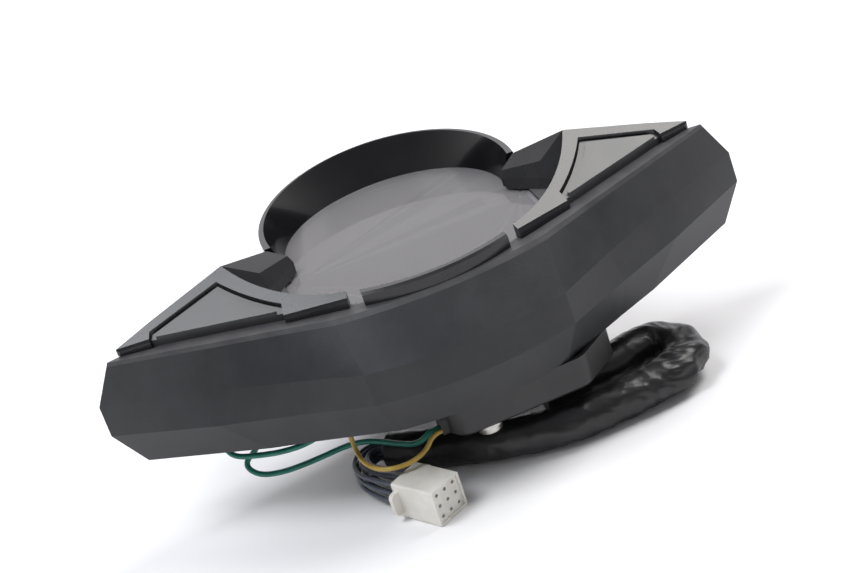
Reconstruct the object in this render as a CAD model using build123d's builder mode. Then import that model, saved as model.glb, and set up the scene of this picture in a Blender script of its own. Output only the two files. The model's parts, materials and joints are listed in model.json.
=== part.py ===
"""Motorcycle instrument cluster, lying on its back, in millimetres.

+X is the rider's right, +Y runs up the dial towards the hood, +Z points out of the dial's face.
The origin is the middle of the footprint, on the surface that the cluster lies on.
"""

from build123d import *
from math import atan2, cos, degrees, pi, radians, sin, tan
import os

os.makedirs("parts", exist_ok=True)

# Heights of the case, from its flat back up to the faces that the rider sees
BACK_Z = 36
LOW_CREASE_Z = 52
HIGH_CREASE_Z = 65
RIM_Z = 83
FACE_Z = 89
BEZEL_THICK = 1.8
BEZEL_Z = RIM_Z - BEZEL_THICK
WALL = 2.5
FLOOR_TOP_Z = BACK_Z + WALL

# Round face: hood ring, lens, dial and its inner stack
HOOD_Y = 17.9
HOOD_R = 56.4
HOOD_TOP_R = 55.9
HOOD_LIP = 0.9
HOOD_FOOT_R = 48.7
HOOD_TILT = 4.8
HOOD_TOP_Z = 94.3
HOOD_END_Y = 13.6
TRIM_ARC_Y = 20.7
TRIM_ARC_R = 70.9
LENS_THICK = 2.5
LENS_TOP_Z = 82
LENS_Z = LENS_TOP_Z - LENS_THICK
LENS_R = 53.6
LENS_LOW_R = 71.5
LENS_HALF_WIDTH = 54
GASKET_THICK = 0.5
DIAL_Z = 71
DIAL_THICK = 1
GUIDE_Z = 66
GUIDE_THICK = DIAL_Z - DIAL_THICK - GUIDE_Z
BOARD_Z = 60
BOARD_THICK = 1.6
BOARD_TOP_Z = BOARD_Z + BOARD_THICK
CLEAR = 0.2

# Gauges: each has its centre, the needle's reach and tail, the rest angle and the hub's radius
GAUGES = {
    "speed": ((1, 25.5), 38, 9, 207, 5.5),
    "tach": ((27, -26), 26, 7, 190, 4.5),
    "fuel": ((-31, -20), 20, 6, 141, 4),
}
SHAFT_R = 0.75
SHAFT_CLEAR = 0.05
SHAFT_TOP_Z = 75.6
HUB_THICK = 3.2
NEEDLE_Z = 73.2
NEEDLE_THICK = 1.1
NEEDLE_ROOT = 2.6
NEEDLE_TIP = 0.9
MOTOR_R = 12
MOTOR_TALL = 10
SHAFT_FOOT_Z = 52

# Wings: the top of each wing is one sloping plane, z = WING_LIFT - WING_FALL * x + WING_RISE * y
WING_LIFT = 120.5
WING_FALL = 0.2496
WING_RISE = 0.5503
ARM_GAP_X = 35.2
WINDOW_SINK = 1.9
WINDOW_STEP = 1.4
WINDOW_WALL = 1.6
WINDOW_FRONT_IN = (60.2, -32.4)
WINDOW_FRONT_OUT = (112, -9.2)

# Rear box, its screws, and the parts that stand the cluster on the surface
BOX_Z = 22
BOX_WALL = 2
BOX_LEFT = -17
BOX_RIGHT = 58
BOX_FRONT = -66
BOX_REAR = 6
POST_X = 42
POST_Y = 30
POST_R = 8
INSERT_R = 4.5
INSERT_LONG = 14
BORE_R = 2.5
BORE_LONG = 12
HOLDER_R = 7
HOLDER_LONG = 5
NECK_SHORTER = 1
NECK_TOP_Z = 44
BULB_X = 88
BULB_Y = -15
BACKLIGHT_X = -53
BACKLIGHT_Y = -40
BULB_R = 4

# Harness
SLEEVE_R = 8
LEAD_R = 0.95
GREEN_R = 1.2
YELLOW_R = 1
LEAD_PITCH = 2.3
TERMINAL_PITCH = 4.8
CONNECTOR_SIDE = 16
CONNECTOR_LONG = 22
CONNECTOR_FACE = (-28, -80)
CONNECTOR_BACK = (-40, -61)


def finish(piece, name):
    """Label one piece and write it to its own file."""
    piece.label = name
    export_step(piece, f"parts/{name}.step")


def plane_through(p, q, r):
    """The plane through three points that run anticlockwise seen from outside."""
    normal = (Vector(*q) - Vector(*p)).cross(Vector(*r) - Vector(*p))
    return Plane(origin=p, z_dir=normal)


# ---------------------------------------------------------------- case and bezel

# Half outlines at each height: tip, two points of the lower edge, its corner, the middle of the
# lower edge, then the wing's upper corner, the shoulder beside the hood and the top of the hood
CASE_LEVELS = [
    (BACK_Z, (131, -8), (84, -38), (66, -47.5), (36, -64.5), -70, (77, 2), (55, 12), 71),
    (LOW_CREASE_Z, (141, -7), (100, -34), (70, -51), (42, -68), -75, (80, 5), (58.5, 14), 75),
    (HIGH_CREASE_Z, (141, -5), (94, -32), (68, -48), (42, -66), -73, (80, 5), (58.5, 14), 75),
    (RIM_Z, (131, -7), (88, -27.5), (66, -37.8), (45, -48), -54.5, (79, 3), (57, 12.5), 75),
]


def case_outline(level):
    """The closed outline of the case at one height."""
    z, tip, low_a, low_b, corner, middle, high, shoulder, top = level
    left = [(-x, y) for x, y in (corner, low_b, low_a, tip, high, shoulder)]
    with BuildSketch(Plane.XY.offset(z)) as outline:
        with BuildLine():
            Polyline(left)
            ThreePointArc(left[-1], (0, top), shoulder)
            Polyline(shoulder, high, tip, low_a, low_b, corner)
            ThreePointArc(corner, (0, middle), left[0])
        make_face()
    return outline.sketch


def shrunk(outline):
    """The same outline moved inwards by the wall's thickness, with sharp corners."""
    return offset(outline, amount=-WALL, kind=Kind.INTERSECTION, mode=Mode.PRIVATE)


def lens_outline(z, inset=0):
    """The lens seen from above: a disc under the hood and a wide lobe towards the rider."""
    with BuildSketch(Plane.XY.offset(z)) as lobe:
        with Locations((0, TRIM_ARC_Y)):
            Circle(LENS_LOW_R)
        with Locations((0, -LENS_HALF_WIDTH)):
            Rectangle(2 * LENS_HALF_WIDTH, 2 * LENS_HALF_WIDTH, mode=Mode.INTERSECT)
        with Locations((0, HOOD_Y)):
            Circle(LENS_R)
        fillet(lobe.vertices().group_by(Axis.Y)[0], radius=6)
        if inset:
            offset(amount=-inset, mode=Mode.REPLACE)
    return lobe.sketch


def window_outline(z, inset=0):
    """The smoked window of the right wing seen from above."""
    with BuildSketch(Plane.XY.offset(z)) as window:
        with BuildLine():
            ThreePointArc((79.3, -5.8), (71.3, -17.3), (59.5, -30))
            Polyline((59.5, -30), WINDOW_FRONT_IN, WINDOW_FRONT_OUT, (111, -7.2), (79.3, -5.8))
        make_face()
        if inset:
            offset(amount=-inset, kind=Kind.INTERSECTION, mode=Mode.REPLACE)
    return window.sketch


def wing_plane(sink=0):
    """The sloping top of the right wing, moved down by sink."""
    return Plane(origin=(0, 0, WING_LIFT - sink), z_dir=Vector(WING_FALL, -WING_RISE, 1))


GAUGE_CENTRES = [gauge[0] for gauge in GAUGES.values()]
BOARD_SPOTS = [(-46, -8), (46, -8), (-31, 50), (31, 50)]
BOX_SPOTS = [(-1, -58.5), (-9, -2), (50, -2)]
CASE_SPOTS = [(-62, 1), (62, 1)]
BULB_SPOTS = [(-BULB_X, BULB_Y), (BULB_X, BULB_Y)]
BACKLIGHT_SPOT = (BACKLIGHT_X, BACKLIGHT_Y)
POST_SPOTS = [(-POST_X, POST_Y), (POST_X, POST_Y)]
BOSS_R = 3.5
SCREW_R = 1.5
BOX_SCREW_R = 1.9
TUBE_R = 5
TUBE_BORE_R = 3.6
TUBE_SEAT_Z = 68
TUBE_TOP_Z = 72
BOX_BOSS_TOP_Z = 47
FLOOR_OPENING = (44, 46)
FLOOR_OPENING_CENTRE = (22, -27)

with BuildPart() as case_body:
    loft([case_outline(level) for level in CASE_LEVELS], ruled=True)

with BuildPart() as case_room:
    loft([shrunk(case_outline(level)) for level in CASE_LEVELS], ruled=True)
    split(bisect_by=Plane.XY.offset(FLOOR_TOP_Z), keep=Keep.TOP)

with BuildPart() as rear_case:
    add(case_body.part)
    split(bisect_by=Plane.XY.offset(BEZEL_Z), keep=Keep.BOTTOM)
    add(case_room.part, mode=Mode.SUBTRACT)
    with BuildSketch(Plane.XY.offset(BACK_Z)):
        with Locations(FLOOR_OPENING_CENTRE):
            RectangleRounded(*FLOOR_OPENING, 5)
    extrude(amount=WALL, mode=Mode.SUBTRACT)
    with BuildSketch(Plane.XY.offset(BACK_Z)):
        with Locations(*BULB_SPOTS):
            Circle(HOLDER_R - NECK_SHORTER)
        with Locations(BACKLIGHT_SPOT):
            Circle(HOLDER_R - 2 * NECK_SHORTER)
    extrude(amount=WALL, mode=Mode.SUBTRACT)
    with BuildSketch(Plane.XY.offset(FLOOR_TOP_Z)):
        with Locations(*BOARD_SPOTS):
            Circle(BOSS_R)
    extrude(amount=BOARD_Z - FLOOR_TOP_Z)
    with BuildSketch(Plane.XY.offset(BOARD_Z)):
        with Locations(*BOARD_SPOTS):
            Circle(SCREW_R)
    extrude(amount=-MOTOR_TALL, mode=Mode.SUBTRACT)
    with BuildSketch(Plane.XY.offset(FLOOR_TOP_Z)):
        with Locations(*BOX_SPOTS):
            Circle(BOSS_R + 1)
    extrude(amount=BOX_BOSS_TOP_Z - FLOOR_TOP_Z)
    with BuildSketch(Plane.XY.offset(BACK_Z)):
        with Locations(*BOX_SPOTS):
            Circle(BOX_SCREW_R)
    extrude(amount=BOX_BOSS_TOP_Z - BACK_Z - 1, mode=Mode.SUBTRACT)
    with BuildSketch(Plane.XY.offset(FLOOR_TOP_Z)):
        with Locations(*CASE_SPOTS):
            Circle(TUBE_R)
    extrude(amount=TUBE_TOP_Z - FLOOR_TOP_Z)
    with BuildSketch(Plane.XY.offset(BACK_Z)):
        with Locations(*CASE_SPOTS):
            Circle(TUBE_BORE_R)
    extrude(amount=TUBE_SEAT_Z - BACK_Z, mode=Mode.SUBTRACT)
    with BuildSketch(Plane.XY.offset(TUBE_SEAT_Z)):
        with Locations(*CASE_SPOTS):
            Circle(SCREW_R)
    extrude(amount=TUBE_TOP_Z - TUBE_SEAT_Z, mode=Mode.SUBTRACT)
finish(rear_case.part, "rear_case")

with BuildPart() as front_bezel:
    add(case_body.part)
    split(bisect_by=Plane.XY.offset(BEZEL_Z), keep=Keep.TOP)
    add(lens_outline(BEZEL_Z, -CLEAR))
    extrude(amount=BEZEL_THICK, mode=Mode.SUBTRACT)
    add(window_outline(BEZEL_Z, WINDOW_WALL + 1))
    add(window_outline(BEZEL_Z, WINDOW_WALL + 1).mirror(Plane.YZ))
    extrude(amount=BEZEL_THICK, mode=Mode.SUBTRACT)
    with BuildSketch(Plane.XY.offset(TUBE_TOP_Z)):
        with Locations(*CASE_SPOTS):
            Circle(BOSS_R)
    extrude(amount=BEZEL_Z - TUBE_TOP_Z)
    with BuildSketch(Plane.XY.offset(TUBE_TOP_Z)):
        with Locations(*CASE_SPOTS):
            Circle(SCREW_R)
    extrude(amount=BEZEL_Z - TUBE_TOP_Z - 1, mode=Mode.SUBTRACT)
finish(front_bezel.part, "front_bezel")

with BuildPart() as case_screws:
    with BuildSketch(Plane.XY.offset(TUBE_SEAT_Z)):
        with Locations(*CASE_SPOTS):
            Circle(2 * SCREW_R)
    extrude(amount=-2.2)
    with BuildSketch(Plane.XY.offset(TUBE_SEAT_Z)):
        with Locations(*CASE_SPOTS):
            Circle(SCREW_R)
    extrude(amount=BEZEL_Z - TUBE_SEAT_Z - 2)
    chamfer(case_screws.edges().group_by(Axis.Z)[0], length=0.5)
finish(case_screws.part, "case_screws")

# ---------------------------------------------------------------- hood ring and trims

HOOD_BACK_Y = HOOD_Y + HOOD_R
hood_slope = plane_through(
    (0, HOOD_END_Y, HOOD_TOP_Z), (1, HOOD_END_Y, HOOD_TOP_Z), (0, HOOD_BACK_Y, HOOD_TOP_Z + HOOD_TILT)
)

with BuildPart() as hood_ring:
    with BuildSketch(Plane(origin=(0, HOOD_Y, 0), x_dir=(1, 0, 0), z_dir=(0, -1, 0))):
        with BuildLine():
            Polyline(
                (HOOD_R, RIM_Z),
                (HOOD_TOP_R, HOOD_TOP_Z + HOOD_TILT),
                (HOOD_TOP_R - HOOD_LIP, HOOD_TOP_Z + HOOD_TILT),
                (HOOD_FOOT_R, LENS_TOP_Z),
                (LENS_R - 1, LENS_TOP_Z),
                (LENS_R - 1, RIM_Z),
                close=True,
            )
        make_face()
    revolve(axis=Axis((0, HOOD_Y, 0), (0, 0, 1)))
    split(bisect_by=hood_slope, keep=Keep.BOTTOM)
    split(bisect_by=Plane(origin=(0, HOOD_END_Y, 0), z_dir=(0, 1, 0)), keep=Keep.TOP)
    fillet(hood_ring.edges().group_by(Axis.Z)[-1], radius=0.35)
finish(hood_ring.part, "hood_ring")

APEX = (75.1, -1.1, 101)
RIDGE_END = (55.3, 11.7, 94.3)
FACET_OUT = (63.4, -3.2, 93.9)
FACET_IN = (48, 9.9, 89.7)
WALL_IN = (46.7, 8.6, 86.8)
WALL_OUT = (60.7, -8, 86.9)
SKIRT_IN = (46.9, 5.5, RIM_Z)
SKIRT_OUT = (55.5, -12.5, RIM_Z)
SHOULDER_TALL = APEX[2] - RIM_Z + 2

with BuildPart() as shoulder:
    with BuildSketch(Plane.XY.offset(RIM_Z)):
        with BuildLine():
            Polyline(
                (77.5, -4.5), APEX[:2], RIDGE_END[:2], FACET_IN[:2], WALL_IN[:2], WALL_OUT[:2],
                (66, -14.5), (73, -12), close=True,
            )
        make_face()
    extrude(amount=SHOULDER_TALL)
    split(bisect_by=plane_through(APEX, RIDGE_END, FACET_IN), keep=Keep.BOTTOM)
    split(bisect_by=plane_through(APEX, FACET_OUT, WALL_OUT), keep=Keep.BOTTOM)
    split(bisect_by=plane_through(FACET_IN, WALL_IN, WALL_OUT), keep=Keep.BOTTOM)

with BuildPart() as skirt:
    with BuildSketch(Plane.XY.offset(RIM_Z)):
        with BuildLine():
            Polyline(
                FACET_IN[:2], SKIRT_IN[:2], SKIRT_OUT[:2], (58, -17), (66, -14.5), (60, 0), close=True
            )
        make_face()
    extrude(amount=WALL_IN[2] - RIM_Z)
    split(bisect_by=plane_through(WALL_IN, SKIRT_IN, WALL_OUT), keep=Keep.BOTTOM)

with BuildPart() as wing:
    with BuildSketch(Plane.XY.offset(RIM_Z)):
        with BuildLine():
            Polyline((ARM_GAP_X, -41.4), (ARM_GAP_X + 1, -44.6), (61, -35.2), (111.5, -10.8), (125, -6.4))
            Polyline((125, -6.4), (126, -5.4), (109, -3.6), (90, -2.2), APEX[:2])
            ThreePointArc(APEX[:2], (57.8, -25.9), (ARM_GAP_X, -41.4))
        make_face()
    extrude(amount=SHOULDER_TALL)
    split(bisect_by=wing_plane(), keep=Keep.BOTTOM)
    front = wing.edges().filter_by(GeomType.LINE).filter_by_position(Axis.Y, -45, -8)
    chamfer(front.filter_by_position(Axis.Z, RIM_Z + 1, FACE_Z + 5).filter_by(lambda e: e.length > 9), 0.8)

with BuildPart() as right_wing_trim:
    add(wing.part)
    add(shoulder.part)
    add(skirt.part)
    add(window_outline(RIM_Z))
    with BuildSketch(Plane.XY.offset(RIM_Z)):
        with BuildLine():
            Polyline(WINDOW_FRONT_IN, (61.2, -38), (113, -13), WINDOW_FRONT_OUT, close=True)
        make_face()
    extrude(amount=SHOULDER_TALL, mode=Mode.SUBTRACT)
finish(right_wing_trim.part, "right_wing_trim")

with BuildPart() as left_wing_trim:
    mirror(right_wing_trim.part, about=Plane.YZ)
finish(left_wing_trim.part, "left_wing_trim")

with BuildPart() as lower_trim:
    with BuildSketch(Plane.XY.offset(RIM_Z)):
        with BuildLine():
            ThreePointArc((-30.3, -43.4), (0, TRIM_ARC_Y - TRIM_ARC_R - 0.6), (30.3, -43.4))
            Polyline((30.3, -43.4), (30.6, -47.6))
            ThreePointArc((30.6, -47.6), (0, -54), (-30.6, -47.6))
            Polyline((-30.6, -47.6), (-30.3, -43.4))
        make_face()
    extrude(amount=FACE_Z - RIM_Z - 0.5)
    chamfer(lower_trim.faces().sort_by(Axis.Z)[-1].edges().sort_by(Axis.Y)[0], length=1)
finish(lower_trim.part, "lower_trim")

with BuildPart() as right_window:
    add(window_outline(RIM_Z, CLEAR))
    extrude(amount=SHOULDER_TALL)
    split(bisect_by=wing_plane(WINDOW_SINK), keep=Keep.BOTTOM)
with BuildPart() as window_field:
    with BuildSketch(Plane.XY.offset(RIM_Z)):
        with BuildLine():
            ThreePointArc((81.4, -8), (73.3, -19.3), (62.8, -29.8))
            Polyline((62.8, -29.8), (63, -30.9), (109.4, -10.2), (108.5, -9), (81.4, -8))
        make_face()
    extrude(amount=SHOULDER_TALL)
    split(bisect_by=wing_plane(WINDOW_SINK - WINDOW_STEP), keep=Keep.BOTTOM)
with BuildPart() as window_room:
    add(window_outline(RIM_Z, CLEAR + WINDOW_WALL))
    extrude(amount=SHOULDER_TALL)
    split(bisect_by=wing_plane(WINDOW_SINK + WINDOW_WALL), keep=Keep.BOTTOM)
with BuildPart() as right_smoked_window:
    add(right_window.part)
    add(window_field.part)
    add(window_room.part, mode=Mode.SUBTRACT)
finish(right_smoked_window.part, "right_smoked_window")

with BuildPart() as left_smoked_window:
    mirror(right_smoked_window.part, about=Plane.YZ)
finish(left_smoked_window.part, "left_smoked_window")

# ---------------------------------------------------------------- lens and dial stack

with BuildPart() as lens:
    add(lens_outline(LENS_Z))
    extrude(amount=LENS_THICK)
finish(lens.part, "lens")

with BuildPart() as lens_gasket:
    add(lens_outline(LENS_Z - GASKET_THICK, 0.6))
    add(lens_outline(LENS_Z - GASKET_THICK, 2.6), mode=Mode.SUBTRACT)
    extrude(amount=GASKET_THICK)
finish(lens_gasket.part, "lens_gasket")

with BuildPart() as dial_surround:
    add(lens_outline(DIAL_Z, 0.8))
    extrude(amount=LENS_Z - GASKET_THICK - DIAL_Z)
    add(lens_outline(DIAL_Z, 2.4))
    extrude(amount=LENS_Z - GASKET_THICK - DIAL_Z, mode=Mode.SUBTRACT)
finish(dial_surround.part, "dial_surround")

WARNING_CENTRE = (-4.2, 4.5)
WARNING_SIZE = (13.5, 16)
SHAFT_HOLE_R = 1.6

with BuildPart() as dial_plate:
    add(lens_outline(DIAL_Z - DIAL_THICK, 0.8))
    extrude(amount=DIAL_THICK)
    with BuildSketch(Plane.XY.offset(DIAL_Z - DIAL_THICK)):
        with Locations(*GAUGE_CENTRES):
            Circle(SHAFT_HOLE_R)
        with Locations(WARNING_CENTRE):
            Rectangle(*WARNING_SIZE)
    extrude(amount=DIAL_THICK, mode=Mode.SUBTRACT)
finish(dial_plate.part, "dial_plate")

with BuildPart() as warning_window:
    with BuildSketch(Plane.XY.offset(DIAL_Z - DIAL_THICK)):
        with Locations(WARNING_CENTRE):
            Rectangle(*WARNING_SIZE)
    extrude(amount=DIAL_THICK + 0.3)
    chamfer(warning_window.edges().group_by(Axis.Z)[-1], length=0.2)
finish(warning_window.part, "warning_window")

with BuildPart() as light_guide:
    add(lens_outline(GUIDE_Z, 3))
    extrude(amount=GUIDE_THICK)
    with BuildSketch(Plane.XY.offset(GUIDE_Z)):
        with Locations(*GAUGE_CENTRES):
            Circle(2 * SHAFT_HOLE_R)
    extrude(amount=GUIDE_THICK, mode=Mode.SUBTRACT)
    with BuildSketch(Plane.XY.offset(BOARD_TOP_Z)):
        with Locations((-40, 20), (40, 20), (0, 62), (0, -42)):
            Circle(2)
    extrude(amount=GUIDE_Z - BOARD_TOP_Z)
finish(light_guide.part, "light_guide")

with BuildPart() as circuit_board:
    add(lens_outline(BOARD_Z, 3))
    extrude(amount=BOARD_THICK)
    with BuildSketch(Plane.XY.offset(BOARD_Z)):
        with Locations(*GAUGE_CENTRES):
            Circle(SHAFT_HOLE_R)
        with Locations(*BOARD_SPOTS):
            Circle(SCREW_R + 0.2)
    extrude(amount=BOARD_THICK, mode=Mode.SUBTRACT)
finish(circuit_board.part, "circuit_board")

with BuildPart() as board_screws:
    with BuildSketch(Plane.XY.offset(BOARD_TOP_Z)):
        with Locations(*BOARD_SPOTS):
            Circle(2 * SCREW_R)
    extrude(amount=2)
    chamfer(board_screws.edges().group_by(Axis.Z)[-1], length=0.5)
    with BuildSketch(Plane.XY.offset(BOARD_TOP_Z)):
        with Locations(*BOARD_SPOTS):
            Circle(SCREW_R)
    extrude(amount=-8)
finish(board_screws.part, "board_screws")

LED_RING_R = 33
with BuildPart() as backlight_leds:
    with BuildSketch(Plane.XY.offset(BOARD_TOP_Z)):
        with Locations((0, HOOD_Y)):
            with PolarLocations(LED_RING_R, 8, start_angle=22.5):
                Rectangle(3.5, 2.8)
        with Locations((-12, -34), (12, -36), (-4.2, 4.5)):
            Rectangle(3.5, 2.8)
    extrude(amount=1.4)
finish(backlight_leds.part, "backlight_leds")

for name, (centre, reach, tail, rest_angle, hub_r) in GAUGES.items():
    along = Vector(cos(radians(rest_angle)), sin(radians(rest_angle)), 0)
    with BuildPart() as motor:
        with BuildSketch(Plane.XY.offset(BOARD_Z - MOTOR_TALL)):
            with Locations(centre):
                Circle(MOTOR_R)
                Rectangle(2 * MOTOR_R + 3, MOTOR_R, mode=Mode.ADD)
        extrude(amount=MOTOR_TALL)
        fillet(motor.edges().group_by(Axis.Z)[0], radius=0.8)
        with BuildSketch(Plane.XY.offset(BOARD_Z)):
            with Locations(centre):
                Circle(SHAFT_R + SHAFT_CLEAR)
        extrude(amount=SHAFT_FOOT_Z - BOARD_Z, mode=Mode.SUBTRACT)
    finish(motor.part, f"{name}_motor")

    with BuildPart() as shaft:
        with BuildSketch(Plane.XY.offset(SHAFT_FOOT_Z + SHAFT_CLEAR)):
            with Locations(centre):
                Circle(SHAFT_R)
        extrude(amount=SHAFT_TOP_Z - SHAFT_FOOT_Z - SHAFT_CLEAR)
    finish(shaft.part, f"{name}_shaft")

    with BuildPart() as needle:
        with BuildSketch(Plane(origin=(*centre, NEEDLE_Z), x_dir=along, z_dir=(0, 0, 1))):
            with BuildLine():
                Polyline(
                    (-tail, -NEEDLE_ROOT / 2),
                    (reach, -NEEDLE_TIP / 2),
                    (reach, NEEDLE_TIP / 2),
                    (-tail, NEEDLE_ROOT / 2),
                    close=True,
                )
            make_face()
            Circle(hub_r - 1.2)
        extrude(amount=NEEDLE_THICK)
        with BuildSketch(Plane.XY.offset(NEEDLE_Z)):
            with Locations(centre):
                Circle(SHAFT_R)
        extrude(amount=NEEDLE_THICK, mode=Mode.SUBTRACT)
    finish(needle.part, f"{name}_needle")

    with BuildPart() as hub:
        with BuildSketch(Plane.XY.offset(NEEDLE_Z + NEEDLE_THICK)):
            with Locations(centre):
                Circle(hub_r)
        extrude(amount=HUB_THICK)
        fillet(hub.edges().group_by(Axis.Z)[-1], radius=1)
        with BuildSketch(Plane.XY.offset(NEEDLE_Z + NEEDLE_THICK)):
            with Locations(centre):
                Circle(SHAFT_R)
        extrude(amount=SHAFT_TOP_Z - NEEDLE_Z - NEEDLE_THICK, mode=Mode.SUBTRACT)
    finish(hub.part, f"{name}_hub")

# ---------------------------------------------------------------- indicator lights

CUP_Z = 50
CUP_TOP_Z = BEZEL_Z
CUP_R = 6.6
CUP_WALL = 1
CUP_MOUTH = 1.8
BULB_TOP_Z = 61


def round_shell(z, radius, centre):
    """A disc at one height."""
    with BuildSketch(Plane.XY.offset(z)) as disc:
        with Locations(centre):
            Circle(radius)
    return disc.sketch


with BuildPart() as right_reflector:
    loft([round_shell(CUP_Z, CUP_R, BULB_SPOTS[1]), round_shell(CUP_TOP_Z, CUP_R + CUP_MOUTH, BULB_SPOTS[1])])
    loft(
        [
            round_shell(CUP_Z, CUP_R - CUP_WALL, BULB_SPOTS[1]),
            round_shell(CUP_TOP_Z, CUP_R + CUP_MOUTH - CUP_WALL, BULB_SPOTS[1]),
        ],
        mode=Mode.SUBTRACT,
    )
finish(right_reflector.part, "right_reflector")

with BuildPart() as left_reflector:
    mirror(right_reflector.part, about=Plane.YZ)
finish(left_reflector.part, "left_reflector")

for name, centre, neck_r in (
    ("left_indicator", BULB_SPOTS[0], HOLDER_R - NECK_SHORTER),
    ("right_indicator", BULB_SPOTS[1], HOLDER_R - NECK_SHORTER),
    ("backlight", BACKLIGHT_SPOT, HOLDER_R - 2 * NECK_SHORTER),
):
    with BuildPart() as holder:
        with BuildSketch(Plane.XY.offset(BACK_Z)):
            with Locations(centre):
                Circle(neck_r + NECK_SHORTER)
        extrude(amount=-HOLDER_LONG)
        fillet(holder.edges().group_by(Axis.Z)[0], radius=1.5)
        with BuildSketch(Plane.XY.offset(BACK_Z)):
            with Locations(centre):
                Circle(neck_r)
        extrude(amount=NECK_TOP_Z - BACK_Z)
    finish(holder.part, f"{name}_holder")

with BuildPart() as bulbs:
    with BuildSketch(Plane.XY.offset(NECK_TOP_Z)):
        with Locations(*BULB_SPOTS, BACKLIGHT_SPOT):
            Circle(BULB_R)
    extrude(amount=BULB_TOP_Z - NECK_TOP_Z)
    fillet(bulbs.edges().group_by(Axis.Z)[-1], radius=BULB_R - 0.5)
finish(bulbs.part, "bulbs")

# ---------------------------------------------------------------- rear box, posts and screws

SCREW_HEAD_R = 5
SCREW_HEAD_TALL = 3.4
WASHER_R = 6.2
WASHER_THICK = 1.2
HARNESS_Y = -41
BOOT_R = 9.4
BOOT_LEFT = 26
BOOT_RIGHT = 45
BOOT_AXIS_Z = 13
GROMMET = (-53.5, 27)
GROMMET_WIDE = 12
GROMMET_THICK = 5.5
GROMMET_TALL = 9


def box_outline(z, inset=0):
    """The rear box seen from above, with its front right corner cut off."""
    with BuildSketch(Plane.XY.offset(z)) as outline:
        with BuildLine():
            Polyline(
                (BOX_LEFT, BOX_REAR), (BOX_LEFT, BOX_FRONT), (41, BOX_FRONT), (BOX_RIGHT, -51),
                (BOX_RIGHT, BOX_REAR), close=True,
            )
        make_face()
        fillet(outline.vertices(), radius=9)
        if inset:
            offset(amount=-inset, mode=Mode.REPLACE)
    return outline.sketch


with BuildPart() as wire_grommet:
    with BuildSketch(Plane.YZ.offset(BOX_LEFT + 3)):
        with Locations(GROMMET):
            RectangleRounded(GROMMET_WIDE, GROMMET_TALL, 2)
    extrude(amount=-GROMMET_THICK)
finish(wire_grommet.part, "wire_grommet")

with BuildPart() as rear_box:
    add(box_outline(BOX_Z))
    extrude(amount=BACK_Z - BOX_Z)
    chamfer(rear_box.edges().group_by(Axis.Z)[0], length=1.4)
    add(box_outline(BOX_Z + BOX_WALL, BOX_WALL))
    extrude(amount=BACK_Z - BOX_Z - BOX_WALL, mode=Mode.SUBTRACT)
    with BuildSketch(Plane.XY.offset(BOX_Z + BOX_WALL)):
        with Locations(*BOX_SPOTS):
            Circle(BOSS_R + 1)
    extrude(amount=BACK_Z - BOX_Z - BOX_WALL)
    with BuildSketch(Plane.XY.offset(BOX_Z)):
        with Locations(*BOX_SPOTS):
            Circle(BOX_SCREW_R)
        with Locations(((BOOT_LEFT + BOOT_RIGHT) / 2 - 2, HARNESS_Y)):
            Rectangle(8, 12)
    extrude(amount=BACK_Z - BOX_Z, mode=Mode.SUBTRACT)
    add(wire_grommet.part, mode=Mode.SUBTRACT)
finish(rear_box.part, "rear_box")

with BuildPart() as box_washers:
    with BuildSketch(Plane.XY.offset(BOX_Z)):
        with Locations(*BOX_SPOTS):
            Circle(WASHER_R)
            Circle(BOX_SCREW_R, mode=Mode.SUBTRACT)
    extrude(amount=-WASHER_THICK)
finish(box_washers.part, "box_washers")

with BuildPart() as box_screws:
    with BuildSketch(Plane.XY.offset(BOX_Z - WASHER_THICK)):
        with Locations(*BOX_SPOTS):
            Circle(SCREW_HEAD_R)
    extrude(amount=-SCREW_HEAD_TALL)
    fillet(box_screws.edges().group_by(Axis.Z)[0], radius=0.9)
    with BuildSketch(Plane.XY.offset(BOX_Z - WASHER_THICK - SCREW_HEAD_TALL)):
        with Locations(*BOX_SPOTS):
            Rectangle(5, 1)
            Rectangle(1, 5)
    extrude(amount=1.4, mode=Mode.SUBTRACT)
    with BuildSketch(Plane.XY.offset(BOX_Z - WASHER_THICK)):
        with Locations(*BOX_SPOTS):
            Circle(BOX_SCREW_R)
    extrude(amount=BOX_BOSS_TOP_Z - BOX_Z - 2)
finish(box_screws.part, "box_screws")

for side, spot in zip(("left", "right"), POST_SPOTS):
    with BuildPart() as post:
        with BuildSketch(Plane.XY):
            with Locations(spot):
                Circle(POST_R)
        extrude(amount=BACK_Z)
        with BuildSketch(Plane.XY):
            with Locations(spot):
                Circle(INSERT_R)
        extrude(amount=INSERT_LONG, mode=Mode.SUBTRACT)
    finish(post.part, f"{side}_mounting_post")

with BuildPart() as post_inserts:
    with BuildSketch(Plane.XY):
        with Locations(*POST_SPOTS):
            Circle(INSERT_R)
    extrude(amount=INSERT_LONG)
    with BuildSketch(Plane.XY):
        with Locations(*POST_SPOTS):
            Circle(BORE_R)
    extrude(amount=BORE_LONG, mode=Mode.SUBTRACT)
finish(post_inserts.part, "post_inserts")

# ---------------------------------------------------------------- harness


def cord(name, route, radius):
    """Write a round cord of straight runs joined by tangent arcs, and print its bend radii."""
    points = [Vector(*point) for point in route]
    radii = []
    for before, here, after in zip(points, points[1:], points[2:]):
        turn = (here - before).get_angle(after - here)
        shorter = min((here - before).length, (after - here).length)
        radii.append(0.45 * shorter / tan(radians(turn) / 2))
    with BuildLine() as path:
        FilletPolyline(points, radius=radii)
    centreline = path.wires()[0]
    with BuildPart() as tube:
        with BuildSketch(Plane(origin=points[0], z_dir=points[1] - points[0])):
            Circle(radius)
        sweep(path=centreline)
    filled = tube.part.volume / (centreline.length * pi * radius**2)
    print(name, "length", round(centreline.length, 1), "filled", round(filled, 4))
    print("  radii", [round(r, 1) for r in radii])
    finish(tube.part, name)


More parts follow.
